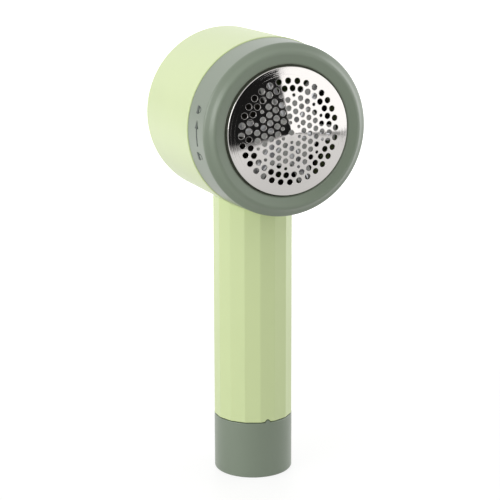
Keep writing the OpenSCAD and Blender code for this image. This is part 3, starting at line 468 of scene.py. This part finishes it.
# A lock in shares of its size: half its body, its shackle's half width, thickness, and the straight
# legs of the closed and of the open shackle
lock = {
    "half": (0.3, 0.45),
    "bow": 0.28,
    "bowSteps": 13,
    "thick": 0.15,
    "shift": 0.25,
    "closedLeg": 0.12,
    "openLeg": 0.34,
}


# A flat drawing wrapped round the ring: its first axis runs along the head, its second round the
# ring, and the radius falls with the side's taper
def onRing(flat):
    along = marks["place"] + flat[:, 0]
    radius = marks["ringRadius"] - marks["ringTaper"] * (marks["ringSeam"] - along) + marks["lift"]
    angle = np.radians(marks["middle"]) - flat[:, 1] / marks["ringRadius"]
    return np.stack([radius * np.cos(angle), along, headHeight + radius * np.sin(angle)], axis=-1)


# A path widened by half its width to each side, square to its direction
def band(path, width):
    along = np.gradient(path, axis=0)
    across = np.column_stack([-along[:, 1], along[:, 0]]) / np.linalg.norm(along, axis=1, keepdims=True)
    ids = np.arange(len(path) - 1)
    sides = np.concatenate([path + across * width / 2, path - across * width / 2])
    return sides, np.column_stack([ids, ids + 1, ids + 1 + len(path), ids + len(path)])


def buildMarks():
    span, head, size = marks["arrowSpan"] / 2, marks["headWidth"], marks["lockSize"]
    steps = np.linspace(-span, span - head, marks["arrowSteps"])
    tip = np.array([[-head / 2, span - head], [head / 2, span - head], [0, span]])
    drawn = [band(np.column_stack([0 * steps, steps]), marks["arrowWidth"]), (tip, np.array([[0, 1, 2]]))]
    foot, wide = lock["half"]
    body = np.array([[-foot, -wide], [foot, -wide], [foot, wide], [-foot, wide]])
    turn = np.linspace(0, np.pi, lock["bowSteps"])
    for side, leg, feet in ((1, lock["closedLeg"], 2), (-1, lock["openLeg"], 1)):
        middle = [size * lock["shift"], side * (span + marks["lockGap"])]
        bow = np.column_stack([-foot - leg - lock["bow"] * np.sin(turn), lock["bow"] * np.cos(turn)])
        shackle = np.concatenate([[[-foot, lock["bow"]]], bow, [[-foot, -lock["bow"]]]])
        shackle = shackle[:len(bow) + feet]     # the open shackle has one foot
        drawn.append((body * size + middle, np.array([[0, 1, 2, 3]])))
        drawn.append(band(shackle * size + middle, size * lock["thick"]))
    starts = np.cumsum([0] + [len(points) for points, _ in drawn])
    points = onRing(np.concatenate([points for points, _ in drawn]))
    faces = [rows + start for (_, rows), start in zip(drawn, starts)]
    piece = addPiece("twistMarks", points, faces, "mark_ink", "guard")
    film = piece.modifiers.new("ink film", "SOLIDIFY")
    film.thickness = marks["ink"] * mm
    film.offset = -1        # from the face down into the ring


buildMarks()
print("marks made")


# Camera, floor, world and lamps. Places here are in metres, apart from the camera's

camera = {
    "position": (-232.33, -568.83, 240.22),
    "target": (-1.006, 0.409, 92.389),
    "roll": -0.147,
    "lens": 112.03,
    "sensor": 36,
}


# Right, up and back of something at one point that faces another
def facing(position, target):
    back = np.asarray(position, float) - np.asarray(target, float)
    back /= np.linalg.norm(back)
    right = np.cross((0, 0, 1), back)
    right /= np.linalg.norm(right)
    return right, np.cross(back, right), back


def hang(name, data, right, up, back, position):
    holder = bpy.data.objects.new(name, data)
    matrix = np.eye(4)
    matrix[:3] = np.column_stack([right, up, back, position])
    holder.matrix_world = matrix.T.tolist()
    bpy.context.scene.collection.objects.link(holder)
    return holder


def addCamera():
    position = np.array(camera["position"]) * mm
    right, up, back = facing(position, np.array(camera["target"]) * mm)
    cosine, sine = math.cos(math.radians(camera["roll"])), math.sin(math.radians(camera["roll"]))
    data = bpy.data.cameras.new("camera")
    data.lens = camera["lens"]
    data.sensor_width = camera["sensor"]
    bpy.context.scene.camera = hang("camera", data, right * cosine + up * sine, up * cosine - right * sine,
                                    back, position)


# The floor shows white to the camera and to mirrors, and near the object keeps a share of its own
# shading, which is where the shadow lies
floor = {
    "left": -3, "right": 3, "front": -0.68, "back": 4,
    "colour": "#b8b8b6",
    "toCamera": 1.47,
    "toMirrors": {"from": -0.3, "to": 0.1, "low": 1.08, "high": 1.7},      # brighter towards the back
    "frontBand": {"from": -0.63, "to": -0.57, "low": 0.3, "high": 1.0},    # darker at the front edge
    "fade": {"from": 0.15, "to": 0.5, "low": 0.55, "high": 1.0},           # share that isn't shading
}
# Settings that the floor's and the world's nodes share
smooth = {"interpolation_type": "SMOOTHSTEP"}
number = {"data_type": "FLOAT"}


def addFloor():
    mesh = bpy.data.meshes.new("floor")
    left, right, front, back = (floor[side] for side in ("left", "right", "front", "back"))
    mesh.from_pydata([(left, front, 0), (right, front, 0), (right, back, 0), (left, back, 0)], [],
                     [(0, 1, 2, 3)])
    holder = bpy.data.objects.new("floor", mesh)
    bpy.context.scene.collection.objects.link(holder)
    material, tree = emptyMaterial("pale floor, painted")
    seen = addNode(tree, "ShaderNodeLightPath").outputs
    spot = addNode(tree, "ShaderNodeTexCoord").outputs["Object"]
    depth = addNode(tree, "ShaderNodeSeparateXYZ", Vector=spot).outputs["Y"]
    away = addNode(tree, "ShaderNodeVectorMath", {"operation": "LENGTH"}, i0=spot).outputs["Value"]
    behind, band, fade = (
        addNode(tree, "ShaderNodeMapRange", smooth, Value=value,
                From_Min=floor[ramp]["from"], From_Max=floor[ramp]["to"],
                To_Min=floor[ramp]["low"], To_Max=floor[ramp]["high"]).outputs["Result"]
        for value, ramp in ((depth, "toMirrors"), (depth, "frontBand"), (away, "fade")))
    mirrored = addNode(tree, "ShaderNodeMath", {"operation": "MULTIPLY"}, i0=behind, i1=band)
    strength = addNode(tree, "ShaderNodeMix", number, i0=seen["Is Camera Ray"],
                       i2=mirrored.outputs["Value"], i3=floor["toCamera"])
    glow = addNode(tree, "ShaderNodeEmission", Color=white, Strength=strength.outputs[0])
    mirror = addNode(tree, "ShaderNodeMath", {"operation": "MAXIMUM"}, i0=seen["Is Glossy Ray"],
                     i1=seen["Is Transmission Ray"])
    shown = addNode(tree, "ShaderNodeMath", {"operation": "MAXIMUM"}, i0=seen["Is Camera Ray"],
                    i1=mirror.outputs["Value"])
    share = addNode(tree, "ShaderNodeMath", {"operation": "MULTIPLY"}, i0=shown.outputs["Value"], i1=fade)
    paint = addNode(tree, "ShaderNodeBsdfPrincipled", Base_Color=linear(floor["colour"]))
    mixed = addNode(tree, "ShaderNodeMixShader", i0=share.outputs["Value"], i1=paint.outputs["BSDF"],
                    i2=glow.outputs["Emission"])
    addNode(tree, "ShaderNodeOutputMaterial", Surface=mixed.outputs["Shader"])
    mesh.materials.append(material)


# The world is white to the camera and nearly even to plain surfaces. Mirrors see it brighter to the rear,
# with a black card beside a bright one, low in front, which the foil shows
studio = {
    "toCamera": 1.0,
    "toPlain": ("Y", -0.9, 0.1, 0.65, 0.59),    # axis, start, end, strength at the start and at the end
    "rear": ("Y", -0.1, 0.3, 1.1, 1.4),
    "cards": ("X", 0.343, 0.357, 0.015, 1.7),
    "cardsSide": ("X", -0.1, 0.02, 0.0, 1.0),
    "cardsFront": ("Y", -0.15, -0.35, 0.0, 1.0),
    "cardsTop": ("Z", 0.35, 0.2, 0.0, 1.0),
}


def addWorld():
    world = bpy.data.worlds.new("studio")
    bpy.context.scene.world = world
    world.use_nodes = True
    tree = world.node_tree
    tree.nodes.clear()
    seen = addNode(tree, "ShaderNodeLightPath").outputs
    way = addNode(tree, "ShaderNodeTexCoord").outputs["Generated"]
    parts = addNode(tree, "ShaderNodeSeparateXYZ", Vector=way).outputs
    plain, rear, cards, side, front, top = (
        addNode(tree, "ShaderNodeMapRange", smooth, Value=parts[axis], From_Min=start, From_Max=end,
                To_Min=low, To_Max=high).outputs["Result"]
        for axis, start, end, low, high in (
            studio[ramp] for ramp in ("toPlain", "rear", "cards", "cardsSide", "cardsFront", "cardsTop")))
    ahead = addNode(tree, "ShaderNodeMath", {"operation": "MULTIPLY"}, i0=side, i1=front)
    within = addNode(tree, "ShaderNodeMath", {"operation": "MULTIPLY"}, i0=ahead.outputs["Value"], i1=top)
    mirrored = addNode(tree, "ShaderNodeMix", number, i0=within.outputs["Value"], i2=rear, i3=cards)
    lit = addNode(tree, "ShaderNodeMix", number, i0=seen["Is Glossy Ray"], i2=plain,
                  i3=mirrored.outputs[0])
    shown = addNode(tree, "ShaderNodeMix", number, i0=seen["Is Camera Ray"], i2=lit.outputs[0],
                    i3=studio["toCamera"])
    sky = addNode(tree, "ShaderNodeBackground", Color=white, Strength=shown.outputs[0])
    addNode(tree, "ShaderNodeOutputWorld", Surface=sky.outputs["Background"])


# Soft lamps: broad ones at the left and the right, and a weak one overhead
lamps = {
    "key": {"position": (-1.1, -0.35, 0.45), "target": (0, 0, 0.11), "size": (0.9, 0.7), "watts": 5.8},
    "top": {"position": (-0.2, -0.35, 1.25), "target": (0, 0, 0.11), "size": (0.9, 0.9), "watts": 0.5},
    "rim": {"position": (1.1, 0.0, 0.4), "target": (0, 0, 0.1), "size": (0.8, 0.9), "watts": 3.4},
}


def addLamp(name, lamp):
    data = bpy.data.lights.new(name, "AREA")
    data.shape = "RECTANGLE"
    data.size, data.size_y = lamp["size"]
    data.energy = lamp["watts"]
    hang(name, data, *facing(lamp["position"], lamp["target"]), lamp["position"])


addCamera()
addFloor()
addWorld()
for name, lamp in lamps.items():
    addLamp(name, lamp)
bpy.context.scene.view_settings.view_transform = "Standard"
print("stage set")
